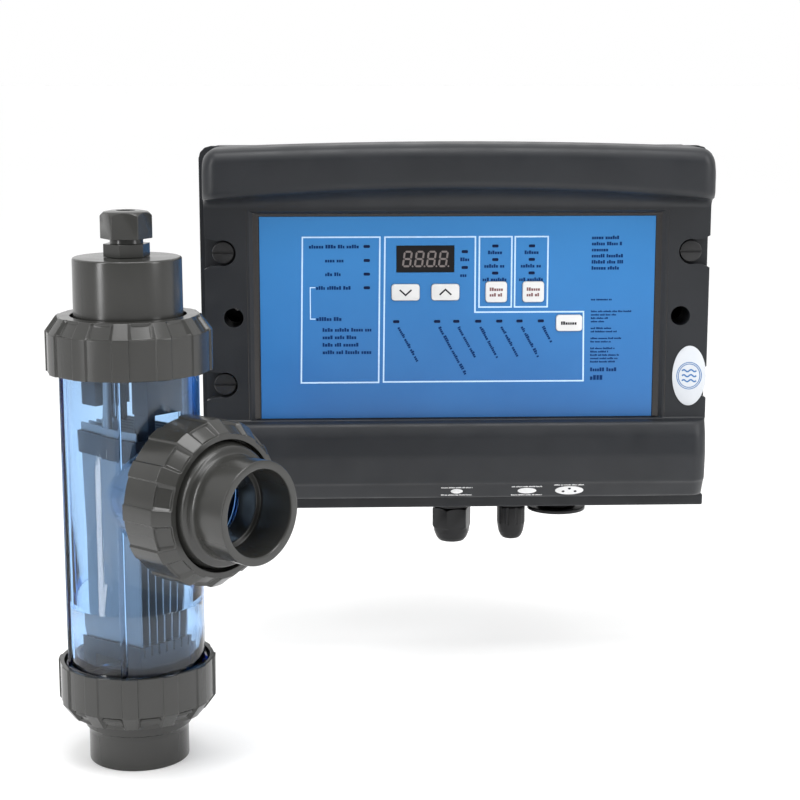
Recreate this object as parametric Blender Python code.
"""Salt chlorine generator: a wall-mounted controller and a clear electrolytic cell.

Metres, +Z up. The origin is the centre of the controller's rear face, which hangs on a wall
at y = 0, and +Y points into that wall. The cell stands in front of the controller's left end.
"""

import math

import bmesh
import bpy
from mathutils import Matrix, Vector

GAP = 0.0003  # clearance between pieces that touch

# Controller, seen from the front: X across, Z up, Y back into the wall
CASE_HALF_WIDTH = 0.2095
CASE_TOP = 0.1470
CASE_BOTTOM = -0.1500
CASE_DEPTH = 0.0597
CASE_WALL = 0.0035
LIP = 0.0030
LIP_DEPTH = 0.0080
GASKET_THICK = 0.0027
COVER_HALF_WIDTH = 0.2065
COVER_REAR = -0.0630
COVER_WALL = 0.0030
COVER_CORNER = 0.0120
HOOD_FRONT = -0.1250
HOOD_TOP = 0.1480  # at the ends; the hood rises by HOOD_ARCH in the middle
HOOD_ARCH = 0.0045
HOOD_LOW = 0.1080
HOOD_LOW_ARCH = 0.0090
FACE_Y = -0.1000
PANEL_TOP = 0.0990
APRON_TOP = -0.0750
APRON_FRONT = -0.1140
APRON_EDGE = -0.1250
STRIP_TOP = -0.1275
STRIP_LOW = -0.1405
COVER_BOTTOM = -0.1455
FASCIA_HALF_WIDTH = 0.1620
FASCIA_TOP = 0.0930
FASCIA_BOTTOM = -0.0735
FASCIA_FRONT = -0.0960
FASCIA_THICK = 0.0020
SCREW_X = 0.1915
SCREW_Z = (0.0640, -0.0445)
WALL_HOLE_X = 0.1835
WALL_HOLE_Z = 0.0110
STICKER_Z = -0.0390
SHELF_FRONT = -0.0720
SHELF_BOTTOM = -0.1560
GLAND_Y = -0.0335
GLAND_DROP = 0.0130  # height of the collar between the case and a gland
GLAND_THREAD = 0.0100  # length of the thread below the collar
GLAND_SEAL = 0.0090
MAINS_X = 0.0000
MAINS_HEX_R = 0.0172  # to the corners
MAINS_TUBE_R = 0.0102
MAINS_BORE_R = 0.0070
LEAD_X = 0.0520
LEAD_COLLAR_R = 0.0126
LEAD_TUBE_R = 0.0082
LEAD_BORE_R = 0.0055
OUTLET_X = 0.0915
OUTLET_R = 0.0168
OUTLET_DROP = 0.0130
FLAP_R = 0.0252
FLAP_HALF_THICK = 0.0016
FLAP_PIN_R = 0.0012
FLAP_PIN_BACK = 0.0265  # from the outlet's middle back to the pin

# Inside the case
CORE_X, CORE_Z = -0.0950, -0.0250
CORE_HALF_WIDTH, CORE_HALF_HEIGHT = 0.0400, 0.0350
CORE_FRONT = -0.0580
WINDING_HALF_WIDTH, WINDING_HALF_HEIGHT = 0.0275, 0.0197
WINDING_FRONT = -0.0660
LEG_X = 0.0200  # each side of the core's middle
LEG_HALF_WIDTH = 0.0075
BOARD_LEFT, BOARD_RIGHT = -0.0300, 0.1650
BOARD_LOW, BOARD_HIGH = -0.1050, 0.0950
BOARD_THICK = 0.0016
BOARD_STANDOFF = 0.0100
SINK_LEFT, SINK_RIGHT = -0.1400, -0.0500
SINK_LOW, SINK_HIGH = 0.0400, 0.1200
SINK_FRONT = -0.0400
SINK_SLOTS = 8
SINK_PITCH = 0.0110
SINK_SLOT_WIDTH = 0.0060

# Cell, in its own frame: Z up its axis from the bottom socket's end
CELL_PLACE = Vector((-0.2490, -0.2820, -0.2910))
TUBE_R = 0.0490
TUBE_BORE_R = 0.0450
THREAD_R = 0.0520
BODY_BOTTOM = 0.0510
BODY_TOP = 0.3150
BODY_RIB_R = 0.0024
BODY_RIB_TURNS = (-95, 20, 85, 200)  # degrees round the tube
RIB_COUNT = 12
RIB_PROUD = 0.0013
POCKET_SINK = Vector((-0.0014, -0.0010))  # across and along a nut, into its bevel
NUT_R = 0.0582
BOTTOM_NUT_R = 0.0562
NUT_LENGTH = 0.0400
NUT_SIDE = 0.0290
NUT_BEVEL = 0.0077
NUT_BORE_R = 0.0532
NUT_LIP = 0.0070
NUT_GRIP = 0.0250  # how far a nut reaches back over the body's thread
FLANGE_R = 0.0524
FLANGE_THICK = 0.0074
SOCKET_R = 0.0302  # 60.3 mm pipe, DN50
BORE_R = 0.0260
SEAT_R = 0.0478  # O-ring and its groove
SEAL_R = 0.0011
GROOVE_HALF = 0.0018
GROOVE_DEPTH = 0.0028
BARREL_R = 0.0366
SOCKET_DEPTH = 0.0300
PORT_HEIGHT = 0.2045
PORT_DIRECTION = Vector((0.731, -0.682, 0.0)).normalized()
BRANCH_R = 0.0445
BRANCH_BORE_R = 0.0385
BRANCH_NECK = 0.0560  # where the branch starts to widen to its thread
BRANCH_END = 0.0820
PORT_REACH = 0.1305
CAP_R = 0.0390
CAP_TOP = 0.3710
HEAD_FLOOR = 0.3240
HEAD_GLAND_R = 0.0184  # to the corners
HEAD_GLAND_BASE = 0.0095
HEAD_GLAND_NECK = 0.0128
HEAD_GLAND_TOP = 0.0328
PLATE_COUNT = 7
PLATE_PITCH = 0.0070
PLATE_THICK = 0.0012
PLATE_WIDTH = 0.0640
PLATE_BOTTOM = 0.0860
PLATE_TOP = 0.2500
CLAMP_LOW = 0.0680
CLAMP_TOP = 0.0940
HOLDER_LOW = 0.2275
HOLDER_TOP = 0.2440
TAB_LOW = 0.2620
ROUND = 30

COLOURS = {
    "pvc": ((0.075, 0.073, 0.067), 0.30, 0.0),
    "case": ((0.035, 0.038, 0.043), 0.55, 0.0),
    "clear": ((0.55, 0.70, 0.92), 0.08, 0.0),
    "rubber": ((0.012, 0.012, 0.012), 0.70, 0.0),
    "fascia": ((0.060, 0.210, 0.520), 0.40, 0.0),
    "display": ((0.010, 0.009, 0.009), 0.15, 0.0),
    "key": ((0.800, 0.800, 0.780), 0.45, 0.0),
    "label": ((0.780, 0.790, 0.800), 0.40, 0.0),
    "titanium": ((0.280, 0.290, 0.310), 0.45, 1.0),
    "holder": ((0.045, 0.050, 0.060), 0.50, 0.0),
    "steel": ((0.550, 0.550, 0.560), 0.35, 1.0),
    "copper": ((0.600, 0.280, 0.120), 0.40, 1.0),
    "board": ((0.020, 0.120, 0.050), 0.50, 0.0),
    "aluminium": ((0.600, 0.600, 0.620), 0.40, 1.0),
    "component": ((0.030, 0.030, 0.120), 0.40, 0.0),
}


def clear_scene():
    for obj in list(bpy.data.objects):
        bpy.data.objects.remove(obj, do_unlink=True)


def new_collection(name):
    group = bpy.data.collections.new(name)
    bpy.context.scene.collection.children.link(group)
    return group


def new_empty(name, matrix):
    empty = bpy.data.objects.new(name, None)
    empty.matrix_world = matrix
    PARTS.objects.link(empty)
    return empty


def finish_of(name, kind):
    colour, roughness, metallic = COLOURS[kind]
    material = bpy.data.materials.new(name)
    material.use_nodes = True
    shader = material.node_tree.nodes["Principled BSDF"]
    shader.inputs["Base Color"].default_value = (*colour, 1.0)
    shader.inputs["Roughness"].default_value = roughness
    shader.inputs["Metallic"].default_value = metallic
    if kind == "clear":
        shader.inputs["Transmission Weight"].default_value = 0.9
    return material


def add_object(name, bm, kind, parent=None, place=(0, 0, 0), smooth=True):
    """An object from a bmesh: a part with its own material, or a hidden cutter when kind is None."""
    bmesh.ops.recalc_face_normals(bm, faces=bm.faces)
    mesh = bpy.data.meshes.new(name)
    bm.to_mesh(mesh)
    bm.free()
    obj = bpy.data.objects.new(name, mesh)
    obj.parent = parent
    obj.location = place
    if kind is None:
        CUTTERS.objects.link(obj)
        obj.hide_render = True
        obj.display_type = "WIRE"
        return obj
    PARTS.objects.link(obj)
    mesh.materials.append(finish_of(name, kind))
    if smooth:
        mesh.shade_smooth()
        mesh.set_sharp_from_angle(angle=math.radians(35))
    return obj


def block(name, low, high, kind, parent=None, bevel=0.0, bevel_along=None):
    """A box between two corners, its origin at its middle, with its edges rounded if asked."""
    low, high = Vector(low), Vector(high)
    size = high - low
    bm = bmesh.new()
    bmesh.ops.create_cube(bm, size=1.0, matrix=Matrix.Diagonal((*size, 1.0)))
    if bevel:
        edges = bm.edges[:]
        if bevel_along is not None:
            edges = [e for e in edges if abs((e.verts[0].co - e.verts[1].co)[bevel_along]) > 1e-6]
        bmesh.ops.bevel(bm, geom=edges, offset=bevel, segments=3, profile=0.5, affect="EDGES")
    return add_object(name, bm, kind, parent, (low + high) / 2)


def cylinder(name, radius, low, high, kind, parent=None, axis="Z", at=(0, 0), sides=20):
    """A cylinder along an axis from low to high; at gives its other two coordinates in X, Y, Z order."""
    bm = bmesh.new()
    bmesh.ops.create_cone(bm, cap_ends=True, segments=sides, radius1=radius, radius2=radius,
                          depth=high - low)
    middle = (low + high) / 2
    if axis == "X":
        bmesh.ops.rotate(bm, verts=bm.verts, matrix=Matrix.Rotation(math.pi / 2, 3, "Y"))
        place = (middle, at[0], at[1])
    elif axis == "Y":
        bmesh.ops.rotate(bm, verts=bm.verts, matrix=Matrix.Rotation(math.pi / 2, 3, "X"))
        place = (at[0], middle, at[1])
    else:
        place = (at[0], at[1], middle)
    return add_object(name, bm, kind, parent, place)


def turned(name, profile, kind, parent=None, place=(0, 0, 0), steps=ROUND):
    """A piece turned about its Z axis from a closed outline of (radius, height) points."""
    bm = bmesh.new()
    points = [bm.verts.new((radius, 0.0, height)) for radius, height in profile]
    edges = [bm.edges.new(pair) for pair in zip(points, points[1:] + points[:1])
             if pair[0].co.x > 0 or pair[1].co.x > 0]
    bmesh.ops.spin(bm, geom=points + edges, cent=(0, 0, 0), axis=(0, 0, 1), angle=math.tau,
                   steps=steps, use_merge=True)
    bmesh.ops.remove_doubles(bm, verts=bm.verts, dist=1e-6)
    return add_object(name, bm, kind, parent, place)


def skin(name, sections, kind, parent=None, closed=False):
    """A solid skinned over equal sections; closed joins the last section to the first."""
    bm = bmesh.new()
    rings = [[bm.verts.new(point) for point in section] for section in sections]
    pairs = list(zip(rings, rings[1:]))
    if closed:
        pairs.append((rings[-1], rings[0]))
    for one, two in pairs:
        for i in range(len(one)):
            j = (i + 1) % len(one)
            bm.faces.new((one[i], one[j], two[j], two[i]))
    if not closed:
        bm.faces.new(rings[0])
        bm.faces.new(rings[-1])
    return add_object(name, bm, kind, parent)


def combine(obj, other, operation):
    change = obj.modifiers.new(other.name, "BOOLEAN")
    change.object = other
    change.operation = operation
    change.solver = "MANIFOLD" if obj.name in ("cell_body", "plate_holder") else "EXACT"
    return obj


def cut(obj, *cutters):
    for cutter in cutters:
        combine(obj, cutter, "DIFFERENCE")
    return obj


def join(obj, *others):
    for other in others:
        combine(obj, other, "UNION")
    return obj


# ---- Controller ---------------------------------------------------------------------------


def rear_case():
    body = block("rear_case", (-CASE_HALF_WIDTH, -CASE_DEPTH, CASE_BOTTOM), (CASE_HALF_WIDTH, 0, CASE_TOP),
                 "case", CONTROLLER, 0.010, 1)
    lip = block("case_lip_shape", (-CASE_HALF_WIDTH - LIP, -CASE_DEPTH, CASE_BOTTOM - LIP / 2),
                (CASE_HALF_WIDTH + LIP, -CASE_DEPTH + LIP_DEPTH, CASE_TOP + LIP / 2), None, CONTROLLER,
                0.010, 1)
    hollow = block("case_hollow", (-CASE_HALF_WIDTH + CASE_WALL, -CASE_DEPTH - 0.01,
                                   CASE_BOTTOM + CASE_WALL),
                   (CASE_HALF_WIDTH - CASE_WALL, -CASE_WALL, CASE_TOP - CASE_WALL), None, CONTROLLER,
                   0.007, 1)
    shelf = block("case_shelf", (-CASE_HALF_WIDTH - LIP, SHELF_FRONT, SHELF_BOTTOM),
                  (CASE_HALF_WIDTH + LIP, -CASE_DEPTH + LIP_DEPTH, COVER_BOTTOM - 0.0008), None,
                  CONTROLLER, 0.0015)
    join(body, lip)
    cut(body, hollow)
    join(body, shelf)
    for side in (-1, 1):
        wall_at = (side * WALL_HOLE_X, WALL_HOLE_Z)
        join(body, cylinder(f"wall_boss_{side}", 0.0090, -0.030, -0.001, None, CONTROLLER, "Y", wall_at))
        cut(body, cylinder(f"wall_hole_{side}", 0.0030, -0.035, 0.005, None, CONTROLLER, "Y", wall_at, 16))
        for row, height in enumerate(SCREW_Z):
            boss_at = (side * SCREW_X, height)
            join(body, cylinder(f"boss_{side}_{row}", 0.0065, -0.0590, -0.001, None, CONTROLLER, "Y",
                                boss_at, 16))
            cut(body, cylinder(f"boss_hole_{side}_{row}", 0.0030, -0.065, -0.010, None, CONTROLLER, "Y",
                               boss_at, 12))
    for name, x, radius in (("mains", MAINS_X, 0.0105), ("lead", LEAD_X, 0.0085),
                            ("outlet", OUTLET_X, 0.0164)):
        cut(body, cylinder(f"{name}_hole", radius, CASE_BOTTOM - 0.01, CASE_BOTTOM + 0.01, None, CONTROLLER,
                           "Z", (x, GLAND_Y)))
    return body


def case_gasket():
    rear, front = -CASE_DEPTH - GAP, -CASE_DEPTH - GASKET_THICK
    edge = COVER_HALF_WIDTH - 0.0002
    ring = block("case_gasket", (-edge, front, CASE_BOTTOM + 0.0050), (edge, rear, CASE_TOP - 0.0010),
                 "rubber", CONTROLLER, 0.008, 1)
    inside = block("gasket_inside", (-edge + 0.0028, front - 0.01, CASE_BOTTOM + 0.0078),
                   (edge - 0.0028, rear + 0.01, CASE_TOP - 0.0038), None, CONTROLLER, 0.006, 1)
    return cut(ring, inside)


def setback(x, half_width, radius):
    """How far a rounded end corner falls back from the straight face at this x."""
    past = abs(x) - (half_width - radius)
    if past <= 0:
        return 0.0
    return radius - math.sqrt(max(radius**2 - past**2, 0.0))


def cover_section(x, inset, rear):
    """The cover's outline in the Y-Z plane at this x, moved inwards by inset."""
    back = setback(x, COVER_HALF_WIDTH - inset, COVER_CORNER)
    bow = 1 - (x / COVER_HALF_WIDTH) ** 2
    top = HOOD_TOP + HOOD_ARCH * bow - inset - back
    front = HOOD_FRONT + inset + back
    low = HOOD_LOW + HOOD_LOW_ARCH * bow + inset
    face = FACE_Y + inset
    lip_y = min(front + 0.0040, face - 0.002)
    apron = APRON_FRONT + inset + back
    points = [(rear, top), (front + 0.0110, top), (front + 0.0035, top - 0.0025), (front, top - 0.0090)]
    points += [(front, low + 0.0040), (lip_y, low)]
    reach = face - lip_y
    drop = low - (PANEL_TOP + inset)
    for step in range(1, 5):
        angle = step * math.pi / 8
        points.append((lip_y + reach * math.sin(angle), PANEL_TOP + inset + drop * math.cos(angle)))
    points += [(face, APRON_TOP - inset), (apron + 0.0050, APRON_TOP - inset - 0.0010)]
    points += [(apron + 0.0005, APRON_TOP - 0.0110), (apron - 0.0020, -0.1030), (apron, APRON_EDGE)]
    points += [(apron + 0.0030, STRIP_TOP + inset), (apron + 0.0110, STRIP_LOW + inset)]
    points.append((rear, COVER_BOTTOM + inset))
    return [(x, y, z) for y, z in points]


def cover_stations(half_width):
    ends = [half_width - COVER_CORNER * part for part in (0.0, 0.13, 0.5, 1.0)]
    right = [0.05, 0.10, 0.15] + ends[::-1]
    return [-x for x in right[::-1]] + [0.0] + right


def front_cover():
    outer = [cover_section(x, 0.0, COVER_REAR) for x in cover_stations(COVER_HALF_WIDTH)]
    body = skin("front_cover", outer, "case", CONTROLLER)
    inner_half = COVER_HALF_WIDTH - COVER_WALL
    inner = [cover_section(x, COVER_WALL, COVER_REAR + 0.01) for x in cover_stations(inner_half)]
    cut(body, skin("cover_hollow", inner, None, CONTROLLER))
    for side in (-1, 1):
        for row, height in enumerate(SCREW_Z):
            at = (side * SCREW_X, height)
            edges = sorted((side * (SCREW_X - 0.002), side * (COVER_HALF_WIDTH - 0.001)))
            backing = block(f"screw_backing_{side}_{row}", (edges[0], FACE_Y + 0.001, height - 0.0165),
                            (edges[1], FACE_Y + 0.0130, height + 0.0165), None, CONTROLLER)
            post = cylinder(f"screw_post_{side}_{row}", 0.0125, FACE_Y + 0.001, COVER_REAR - 0.0005, None,
                            CONTROLLER, "Y", at)
            join(body, backing, post)
            pocket = cylinder(f"screw_pocket_{side}_{row}", 0.0105, FACE_Y - 0.02, FACE_Y + 0.0100, None,
                              CONTROLLER, "Y", at)
            hole = cylinder(f"screw_hole_{side}_{row}", 0.0036, FACE_Y - 0.01, COVER_REAR + 0.01, None,
                            CONTROLLER, "Y", at, 12)
            cut(body, pocket, pocket_flare(side, row, height), hole)
        wall_at = (side * WALL_HOLE_X, WALL_HOLE_Z)
        join(body, cylinder(f"well_{side}", 0.0098, FACE_Y + 0.001, COVER_REAR - 0.0005, None,
                            CONTROLLER, "Y", wall_at))
        cut(body, cylinder(f"well_hole_{side}", 0.0080, FACE_Y - 0.01, COVER_REAR + 0.01, None,
                           CONTROLLER, "Y", wall_at))
    backing = block("fascia_backing", (-0.1740, FACE_Y + 0.001, APRON_TOP - 0.001),
                    (0.1740, FACE_Y + 0.0095, PANEL_TOP + 0.001), None, CONTROLLER)
    join(body, backing)
    seat = block("fascia_seat", (-FASCIA_HALF_WIDTH - GAP, FACE_Y - 0.01, FASCIA_BOTTOM - GAP),
                 (FASCIA_HALF_WIDTH + GAP, FASCIA_FRONT + FASCIA_THICK + GAP, FASCIA_TOP + GAP), None,
                 CONTROLLER)
    window = block("fascia_window", (-0.130, FACE_Y - 0.01, -0.050), (0.130, FACE_Y + 0.02, 0.075), None,
                   CONTROLLER)
    return cut(body, fascia_recess(), seat, window)


def fascia_recess():
    """The sloping-sided recess round the fascia; its lower side is the apron's upper edge."""
    sections = []
    for y, spread in ((FACE_Y - 0.004, 0.0125), (FASCIA_FRONT + 0.0004, 0.0030)):
        half, top = FASCIA_HALF_WIDTH + spread, FASCIA_TOP + spread * 0.6
        low = FASCIA_BOTTOM - 0.0008
        sections.append([(-half, y, low), (half, y, low), (half, y, top), (-half, y, top)])
    return skin("fascia_recess", sections, None, CONTROLLER)


def pocket_flare(side, row, height):
    """The part of a screw pocket that widens towards the cover's outer edge."""
    near, far = side * (SCREW_X + 0.004), side * (COVER_HALF_WIDTH + 0.01)
    sections = []
    for y in (FACE_Y - 0.02, FACE_Y + 0.0100):
        sections.append([(near, y, height - 0.0092), (far, y, height - 0.0210),
                         (far, y, height + 0.0210), (near, y, height + 0.0092)])
    return skin(f"pocket_flare_{side}_{row}", sections, None, CONTROLLER)


KEYS = {  # name: centre x, centre z, half width, half height, all on the fascia
    "key_down": (-0.0430, 0.0310, 0.0115, 0.0067),
    "key_up": (-0.0103, 0.0310, 0.0115, 0.0067),
    "key_pump": (0.0315, 0.0310, 0.0088, 0.0085),
    "key_light": (0.0620, 0.0310, 0.0088, 0.0085),
    "key_select": (0.0920, 0.0050, 0.0108, 0.0067),
}
DISPLAY = (-0.0268, 0.0583, 0.0235, 0.0108)


def fascia():
    rear = FASCIA_FRONT + FASCIA_THICK
    panel = block("fascia_panel", (-FASCIA_HALF_WIDTH, FASCIA_FRONT, FASCIA_BOTTOM),
                  (FASCIA_HALF_WIDTH, rear, FASCIA_TOP), "fascia", CONTROLLER)
    for name, (x, z, half_x, half_z) in KEYS.items():
        hole = block(f"{name}_hole", (x - half_x - GAP, FASCIA_FRONT - 0.01, z - half_z - GAP),
                     (x + half_x + GAP, rear + 0.01, z + half_z + GAP), None, CONTROLLER, 0.0025, 1)
        cut(panel, hole)
        block(name, (x - half_x, FASCIA_FRONT - 0.0012, z - half_z),
              (x + half_x, rear + 0.0010, z + half_z), "key", CONTROLLER, 0.0024, 1)
    x, z, half_x, half_z = DISPLAY
    cut(panel, block("display_hole", (x - half_x - GAP, FASCIA_FRONT - 0.01, z - half_z - GAP),
                     (x + half_x + GAP, rear + 0.01, z + half_z + GAP), None, CONTROLLER))
    block("display_window", (x - half_x, FASCIA_FRONT + 0.0002, z - half_z),
          (x + half_x, rear + 0.0030, z + half_z), "display", CONTROLLER)
    block("display_board", (-0.120, rear + 0.0040, -0.045), (0.120, rear + 0.0056, 0.070), "board",
          CONTROLLER)


def oval_label():
    bm = bmesh.new()
    bmesh.ops.create_cone(bm, cap_ends=True, segments=32, radius1=1.0, radius2=1.0, depth=1.0)
    bmesh.ops.rotate(bm, verts=bm.verts, matrix=Matrix.Rotation(math.pi / 2, 3, "X"))
    bmesh.ops.scale(bm, verts=bm.verts, vec=(0.0140, 0.0006, 0.0250))
    add_object("oval_label", bm, "label", CONTROLLER, (0.1920, FACE_Y - GAP - 0.0004, STICKER_Z))


def cover_screws():
    for side, side_name in ((-1, "left"), (1, "right")):
        for height, row_name in zip(SCREW_Z, ("upper", "lower")):
            name = f"cover_screw_{side_name}_{row_name}"
            head_low, head_high = FACE_Y + 0.0100 - GAP, FACE_Y + 0.0035
            screw = cylinder(name, 0.0090, head_high, head_low, "case", CONTROLLER, "Y",
                             (side * SCREW_X, height))
            shank = cylinder(f"{name}_shank", 0.0027, head_low - 0.001, -0.0300, None, CONTROLLER, "Y",
                             (side * SCREW_X, height), 12)
            slot = block(f"{name}_slot", (side * SCREW_X - 0.0100, head_high - 0.001, height - 0.0010),
                         (side * SCREW_X + 0.0100, head_high + 0.0018, height + 0.0010), None, CONTROLLER)
            join(screw, shank)
            cut(screw, slot)


def electronics():
    """What the box holds: transformer, heat sink, power board with its larger pieces, terminals."""
    floor = -CASE_WALL - GAP
    core = block("transformer_core", (CORE_X - CORE_HALF_WIDTH, CORE_FRONT, CORE_Z - CORE_HALF_HEIGHT),
                 (CORE_X + CORE_HALF_WIDTH, floor, CORE_Z + CORE_HALF_HEIGHT), "steel", CONTROLLER, 0.001)
    low, high = CORE_Z - WINDING_HALF_HEIGHT, CORE_Z + WINDING_HALF_HEIGHT
    winding = block("transformer_winding", (CORE_X - WINDING_HALF_WIDTH, WINDING_FRONT, low),
                    (CORE_X + WINDING_HALF_WIDTH, CORE_FRONT - GAP, high), "copper", CONTROLLER, 0.003)
    for side in (-1, 1):
        x = CORE_X + side * LEG_X
        room = LEG_HALF_WIDTH + 0.0005
        cut(core, block(f"core_window_{side}", (x - room, -0.07, low - GAP), (x + room, 0.01, high + GAP),
                        None, CONTROLLER))
        join(winding, block(f"winding_leg_{side}", (x - LEG_HALF_WIDTH, CORE_FRONT - 0.0020, low),
                            (x + LEG_HALF_WIDTH, -0.0060, high), None, CONTROLLER))
    board = floor - BOARD_STANDOFF - BOARD_THICK
    block("power_board", (BOARD_LEFT, board, BOARD_LOW),
          (BOARD_RIGHT, floor - BOARD_STANDOFF, BOARD_HIGH), "board", CONTROLLER)
    sink = block("heat_sink", (SINK_LEFT, SINK_FRONT, SINK_LOW), (SINK_RIGHT, floor, SINK_HIGH), "aluminium",
                 CONTROLLER)
    for i in range(SINK_SLOTS):
        x = SINK_LEFT + 0.0065 + i * SINK_PITCH
        cut(sink, block(f"sink_slot_{i}", (x, SINK_FRONT - 0.01, SINK_LOW - 0.01),
                        (x + SINK_SLOT_WIDTH, SINK_FRONT + 0.028, SINK_HIGH + 0.01), None, CONTROLLER))
    seat = board - GAP
    block("terminal_block", (0.000, seat - 0.016, -0.100), (0.075, seat, -0.084), "component", CONTROLLER,
          0.001)
    block("relay", (0.040, seat - 0.018, 0.020), (0.068, seat, 0.040), "component", CONTROLLER, 0.001)
    cylinder("capacitor", 0.011, seat - 0.035, seat, "component", CONTROLLER, "Y", (0.120, 0.045))


def dome_nut(name, outline, sides, thread, hole_r, kind, parent, place):
    """A gland nut: a shape closed on its axis, a thread bore (radius, low, high) and a cable hole."""
    nut = turned(name, [(0, outline[0][1]), *outline, (0, outline[-1][1])], kind, parent, place, sides)
    radius, low, high = thread
    at = (place[0], place[1])
    cut(nut, cylinder(f"{name}_thread", radius, place[2] + low, place[2] + high, None, parent, "Z", at))
    cut(nut, cylinder(f"{name}_hole", hole_r, place[2] - 0.05, place[2] + 0.05, None, parent, "Z", at))
    return nut


def case_gland(name, x, collar_r, tube_r, bore_r, collar_sides):
    """A cable gland's collar and threaded body under the case, and the rubber seal at its end."""
    place = (x, GLAND_Y, CASE_BOTTOM)
    end = -GLAND_DROP - GLAND_THREAD
    tube = [(bore_r, 0.0140), (tube_r, 0.0140), (tube_r, end), (bore_r, end)]
    body = turned(f"{name}_gland_body", tube, "case", CONTROLLER, place, 18)
    inside = tube_r - 0.001
    collar = [(inside, -GAP), (collar_r, -GAP), (collar_r, -GLAND_DROP), (inside, -GLAND_DROP)]
    join(body, turned(f"{name}_gland_collar", collar, None, CONTROLLER, place, collar_sides))
    seal_r, hole_r = tube_r - 0.0006, bore_r - 0.0020
    seal = [(hole_r, end - GAP), (seal_r, end - GAP), (seal_r, end - GLAND_SEAL), (hole_r, end - GLAND_SEAL)]
    turned(f"{name}_gland_seal", seal, "rubber", CONTROLLER, place, 16)
    return Vector((x, GLAND_Y, CASE_BOTTOM - GLAND_DROP))


def glands():
    bore_end = -GLAND_THREAD - GLAND_SEAL - GAP
    place = case_gland("mains", MAINS_X, MAINS_HEX_R, MAINS_TUBE_R, MAINS_BORE_R, 6)
    outline = [(MAINS_HEX_R - 0.0006, -0.0010), (MAINS_HEX_R, -0.0020), (MAINS_HEX_R, -0.0215),
               (0.0150, -0.0265), (0.0115, -0.0305), (0.0090, -0.0315)]
    dome_nut("mains_gland_nut", outline, 6, (MAINS_TUBE_R + 0.0004, bore_end, 0.01), 0.0062, "case",
             CONTROLLER, place)
    place = case_gland("lead", LEAD_X, LEAD_COLLAR_R, LEAD_TUBE_R, LEAD_BORE_R, 20)
    outline = [(LEAD_COLLAR_R - 0.0002, -0.0006), (LEAD_COLLAR_R - 0.0006, -0.0180), (0.0110, -0.0240),
               (0.0085, -0.0285), (0.0070, -0.0295)]
    dome_nut("lead_gland_nut", outline, 20, (LEAD_TUBE_R + 0.0004, bore_end, 0.01), 0.0050, "case",
             CONTROLLER, place)


def outlet():
    """A round pump outlet under the case, closed by a sprung flap on a rear pin."""
    socket = [(0.0130, 0.0200), (0.0160, 0.0200), (0.0160, -GAP), (OUTLET_R, -GAP), (OUTLET_R, -OUTLET_DROP),
              (0.0130, -OUTLET_DROP)]
    turned("outlet_socket", socket, "case", CONTROLLER, (OUTLET_X, GLAND_Y, CASE_BOTTOM), 28)
    pin = (GLAND_Y + FLAP_PIN_BACK, CASE_BOTTOM - OUTLET_DROP - 0.0022)
    cylinder("flap_pin", FLAP_PIN_R, OUTLET_X - 0.0120, OUTLET_X + 0.0120, "steel", CONTROLLER, "X", pin, 12)
    flap = cylinder("outlet_flap", FLAP_R, -FLAP_HALF_THICK, FLAP_HALF_THICK, "case", CONTROLLER, "Z",
                    (0, 0), 32)
    flap.location = (OUTLET_X, GLAND_Y, pin[1])
    left, right = OUTLET_X - 0.0080, OUTLET_X + 0.0080
    knuckle = cylinder("flap_knuckle", 0.0026, left, right, None, CONTROLLER, "X", pin, 16)
    tongue = block("flap_tongue", (left, pin[0] - 0.0080, pin[1] - FLAP_HALF_THICK),
                   (right, pin[0], pin[1] + FLAP_HALF_THICK), None, CONTROLLER)
    join(flap, knuckle, tongue)
    cut(flap, cylinder("flap_pin_hole", FLAP_PIN_R + 0.00005, OUTLET_X - 0.05, OUTLET_X + 0.05, None,
                       CONTROLLER, "X", pin, 12))


# ---- Cell ---------------------------------------------------------------------------------


def nut_section(kind, lip_r, nut_r):
    """The union nut's outline at one angle: on a rib, on the plain panel or in a pocket of the bevel."""
    proud = RIB_PROUD if kind == "rib" else 0.0
    edge = Vector((nut_r - NUT_BEVEL + proud * 0.7, NUT_LENGTH))
    shoulder = Vector((nut_r + proud, NUT_SIDE))
    sunk = POCKET_SINK if kind == "pocket" else Vector((0, 0))
    upper = edge.lerp(shoulder, 0.14) + sunk
    lower = edge.lerp(shoulder, 0.86) + sunk
    side_r = nut_r + proud
    return [(lip_r, NUT_LENGTH), tuple(edge), tuple(upper), tuple(lower), tuple(shoulder),
            (side_r, 0.0), (NUT_BORE_R, 0.0),
            (NUT_BORE_R, NUT_LENGTH - NUT_LIP), (lip_r, NUT_LENGTH - NUT_LIP)]


def union_nut(name, nut_r, lip_r, parent, open_end):
    """A ribbed union nut: threaded open end at this height, bevelled lip above it."""
    unit = math.tau / RIB_COUNT
    stations = ((-0.18, "rib"), (0.18, "rib"), (0.205, "panel"), (0.27, "pocket"), (0.73, "pocket"),
                (0.795, "panel"))
    sections = []
    for i in range(RIB_COUNT):
        for part, kind in stations:
            angle = (i + part) * unit
            outline = nut_section(kind, lip_r, nut_r)
            sections.append([(r * math.cos(angle), r * math.sin(angle), z) for r, z in outline])
    nut = skin(name, sections, "pvc", parent, closed=True)
    nut.location = (0, 0, open_end)
    return nut


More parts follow.
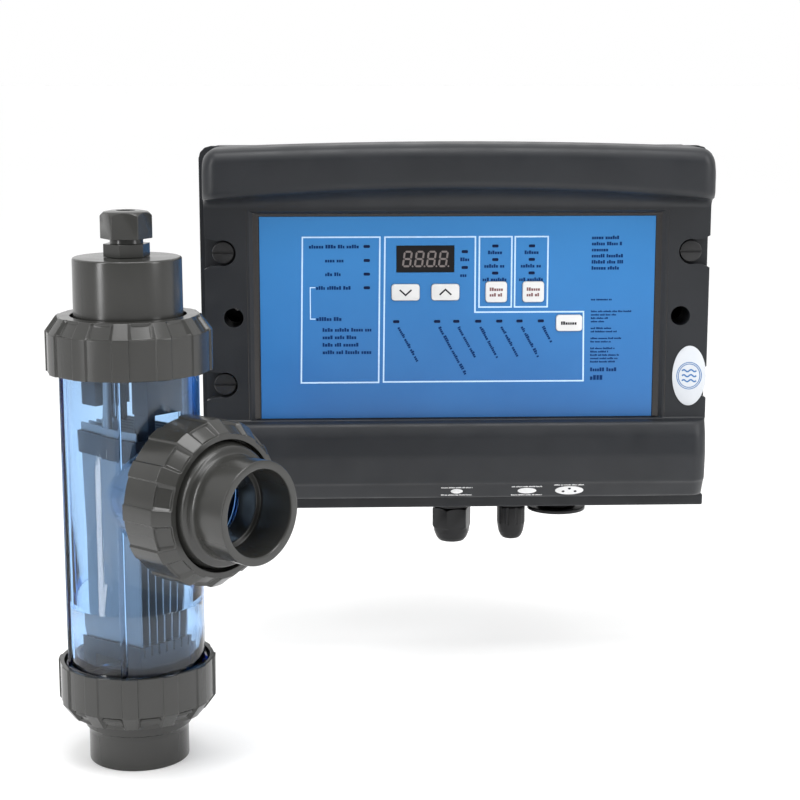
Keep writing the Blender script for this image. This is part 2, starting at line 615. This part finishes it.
def cell_body():
    """The clear tee: a straight tube with threaded ends and one threaded branch."""
    neck, foot = BODY_TOP - 0.0190, BODY_BOTTOM + 0.0225
    outline = [(0, BODY_TOP), (THREAD_R, BODY_TOP), (THREAD_R, neck), (TUBE_R, neck),
               (TUBE_R, foot + 0.0035), (TUBE_R + 0.0005, foot + 0.0015), (THREAD_R, foot),
               (THREAD_R, BODY_BOTTOM), (0, BODY_BOTTOM)]
    body = turned("cell_body", outline, "clear", CELL, steps=40)
    branch = [(0, 0), (BRANCH_R, 0), (BRANCH_R, BRANCH_NECK), (THREAD_R, BRANCH_NECK + 0.0030),
              (THREAD_R, BRANCH_END), (0, BRANCH_END)]
    join(body, turned("branch_outer", branch, None, PORT, steps=40))
    for i, turn in enumerate(BODY_RIB_TURNS):
        angle = math.radians(turn)
        at = (TUBE_R * math.cos(angle), TUBE_R * math.sin(angle))
        rib = cylinder(f"body_rib_{i}", BODY_RIB_R, BODY_BOTTOM + 0.020, BODY_TOP - 0.018, None, CELL,
                       "Z", at, 10)
        join(body, rib)
    main_bore = cylinder("main_bore", TUBE_BORE_R, 0.0, 0.4, None, CELL, sides=40)
    branch_bore = cylinder("branch_bore", BRANCH_BORE_R, 0.010, 0.2, None, PORT, sides=32)
    return cut(body, main_bore, branch_bore)


def ring_seal(name, parent, body_end):
    """An O-ring in the groove of the flange that closes this end of the clear body."""
    height = body_end + GAP + 0.0002 + SEAL_R
    angles = [i * math.tau / 6 for i in range(6)]
    section = [(SEAT_R + SEAL_R * math.cos(a), height + SEAL_R * math.sin(a)) for a in angles]
    return turned(name, section, "rubber", parent, steps=24)


def seal_groove(face):
    """The four corners of an O-ring groove in a flange whose sealing face is at this height."""
    inner, outer = SEAT_R - GROOVE_HALF, SEAT_R + GROOVE_HALF
    return [(inner, face), (inner, face + GROOVE_DEPTH), (outer, face + GROOVE_DEPTH), (outer, face)]


def tail(name, parent, face, end, shoulder_r, shoulder_end, lip_r):
    """A union tail: flange against the body's end, a shoulder through the nut and a pipe socket."""
    outline = [(BORE_R, face), *seal_groove(face), (FLANGE_R, face), (FLANGE_R, face + FLANGE_THICK),
               (lip_r, face + FLANGE_THICK), (shoulder_r, shoulder_end),
               (shoulder_r - 0.0015, shoulder_end + 0.0008), (BARREL_R + 0.0006, shoulder_end + 0.0016),
               (BARREL_R, shoulder_end + 0.0040), (BARREL_R, end - 0.0008), (BARREL_R - 0.0008, end),
               (SOCKET_R + 0.0008, end), (SOCKET_R, end - 0.0015), (SOCKET_R, end - SOCKET_DEPTH),
               (BORE_R, end - SOCKET_DEPTH)]
    return turned(name, outline, "pvc", parent)


def unions():
    union_nut("top_nut", NUT_R, 0.0415, CELL, BODY_TOP - NUT_GRIP)
    union_nut("bottom_nut", BOTTOM_NUT_R, 0.0405, CELL_DOWN, -BODY_BOTTOM - NUT_GRIP)
    union_nut("side_nut", NUT_R, 0.0465, PORT, BRANCH_END - NUT_GRIP)
    ring_seal("side_oring", PORT, BRANCH_END)
    ring_seal("bottom_oring", CELL_DOWN, -BODY_BOTTOM)
    tail("side_tail", PORT, BRANCH_END + GAP, PORT_REACH, 0.0425, 0.1000, 0.0455)
    tail("bottom_tail", CELL_DOWN, -BODY_BOTTOM + GAP, 0.0, 0.0392, -0.0270, 0.0392)


def electrode_head():
    low = BODY_TOP + GAP
    flange_top = low + FLANGE_THICK
    outline = [(0, low), *seal_groove(low), (FLANGE_R, low), (FLANGE_R, flange_top),
               (CAP_R + 0.0004, flange_top), (CAP_R, flange_top + 0.0040),
               (CAP_R - 0.0002, CAP_TOP - 0.0020), (CAP_R - 0.0020, CAP_TOP), (0, CAP_TOP)]
    head = turned("electrode_head", outline, "pvc", CELL)
    room = cylinder("head_room", 0.0345, HEAD_FLOOR, CAP_TOP - 0.0045, None, CELL, sides=40)
    hole = cylinder("head_gland_hole", 0.0104, CAP_TOP - 0.02, CAP_TOP + 0.01, None, CELL)
    cut(head, room, hole)
    ring_seal("head_oring", CELL, BODY_TOP)
    for side, name in ((-1, "left"), (1, "right")):
        at = PLATE_NORMAL * side * PLATE_PITCH * (PLATE_COUNT - 1) / 2
        cut(head, cylinder(f"rod_hole_{name}", 0.0028, low - 0.01, HEAD_FLOOR + 0.01, None, CELL, "Z",
                           at[:2], 12))
        cylinder(f"terminal_rod_{name}", 0.0025, PLATE_TOP + GAP, HEAD_FLOOR + 0.016, "titanium", CELL, "Z",
                 at[:2], 12)


def head_gland():
    place = (0, 0, CAP_TOP)
    base, neck, end, tip = HEAD_GLAND_BASE, HEAD_GLAND_NECK, HEAD_GLAND_NECK + 0.0110, HEAD_GLAND_TOP
    body = turned("head_gland_body", [(0.0070, -0.0100), (0.0100, -0.0100), (0.0100, GAP), (0.0140, GAP),
                                      (0.0140, base), (0.0118, base), (0.0118, neck), (0.0100, neck),
                                      (0.0100, end), (0.0070, end)], "pvc", CELL, place, 18)
    hexagon = turned("head_gland_hex", [(0.0110, GAP), (0.0168, GAP), (0.0168, base), (0.0110, base)], None,
                     CELL, place, 6)
    join(body, hexagon)
    turned("head_gland_seal", [(0.0055, end + GAP), (0.0094, end + GAP), (0.0094, end + 0.0035),
                               (0.0055, end + 0.0035)], "rubber", CELL, place, 16)
    dome_nut("head_gland_nut", [(0.0155, tip), (HEAD_GLAND_R, tip - 0.0030), (HEAD_GLAND_R, neck + GAP)], 6,
             (0.0106, 0.0, tip - 0.0044), 0.0070, "pvc", CELL, place)


def in_stack(across, along, height):
    """A point of the electrode stack: across is along the plates' normal, along is their width."""
    return PLATE_NORMAL * across + PORT_DIRECTION * along + Vector((0, 0, height))


def stack_block(name, across, along, height, kind):
    """A box in the electrode stack's turned frame, from its three ranges."""
    corners = []
    for z in height:
        corners.append([in_stack(across[i], along[j], z) for i, j in ((0, 0), (1, 0), (1, 1), (0, 1))])
    return skin(name, corners, kind, CELL)


def electrode_stack():
    half = PLATE_WIDTH / 2
    spread = PLATE_PITCH * (PLATE_COUNT - 1) / 2
    edge = spread + 0.0030
    holder = stack_block("plate_holder", (-edge, edge), (-half, half), (HOLDER_LOW, HOLDER_TOP), "holder")
    clamp = stack_block("plate_clamp", (-edge, edge), (-half, half), (CLAMP_LOW, CLAMP_TOP), "holder")
    for side in (-1, 1):
        along = sorted((side * (half - 0.012), side * (half + 0.004)))
        tab = stack_block(f"holder_tab_{side}", (-0.0160, 0.0160), along, (TAB_LOW, BODY_TOP - GAP), None)
        across = sorted((side * 0.0087, side * 0.0153))
        inner = (along[0] + 0.0010, along[1] - 0.0010)
        strut = stack_block(f"holder_strut_{side}", across, inner, (HOLDER_LOW + 0.002, TAB_LOW + 0.002),
                            None)
        join(holder, tab, strut)
    cut(clamp, stack_block("clamp_middle", (-edge - 0.01, edge + 0.01), (-0.0180, 0.0180),
                           (0.0, PLATE_BOTTOM - 0.006), None))
    plate_half = half - 0.002
    for i in range(PLATE_COUNT):
        at = (i - (PLATE_COUNT - 1) / 2) * PLATE_PITCH
        plate = (at - PLATE_THICK / 2, at + PLATE_THICK / 2)
        stack_block(f"electrode_plate_{i + 1}", plate, (-plate_half, plate_half), (PLATE_BOTTOM, PLATE_TOP),
                    "titanium")
        slot = (plate[0] - GAP, plate[1] + GAP)
        inside = (-plate_half - GAP, plate_half + GAP)
        cut(holder, stack_block(f"holder_slot_{i}", slot, inside, (HOLDER_LOW - 0.02, PLATE_TOP + GAP),
                                None))
        cut(clamp, stack_block(f"clamp_slot_{i}", slot, (-half - 0.01, half + 0.01),
                               (PLATE_BOTTOM - GAP, CLAMP_TOP + 0.01), None))


def controller():
    rear_case()
    case_gasket()
    front_cover()
    fascia()
    oval_label()
    cover_screws()
    electronics()
    glands()
    outlet()


def cell():
    cell_body()
    unions()
    electrode_head()
    head_gland()
    electrode_stack()


clear_scene()
PARTS = new_collection("salt_chlorine_generator")
CUTTERS = new_collection("cutters")
PLATE_NORMAL = Vector((PORT_DIRECTION.y, -PORT_DIRECTION.x, 0))
CONTROLLER = new_empty("controller_frame", Matrix.Identity(4))
CELL = new_empty("cell_axis", Matrix.Translation(CELL_PLACE))
CELL_DOWN = new_empty("cell_axis_down", Matrix.Translation(CELL_PLACE) @ Matrix.Rotation(math.pi, 4, "X"))
PORT_TURN = PORT_DIRECTION.to_track_quat("Z", "Y").to_matrix().to_4x4()
PORT = new_empty("port_axis", Matrix.Translation(CELL_PLACE + Vector((0, 0, PORT_HEIGHT))) @ PORT_TURN)
controller()
cell()
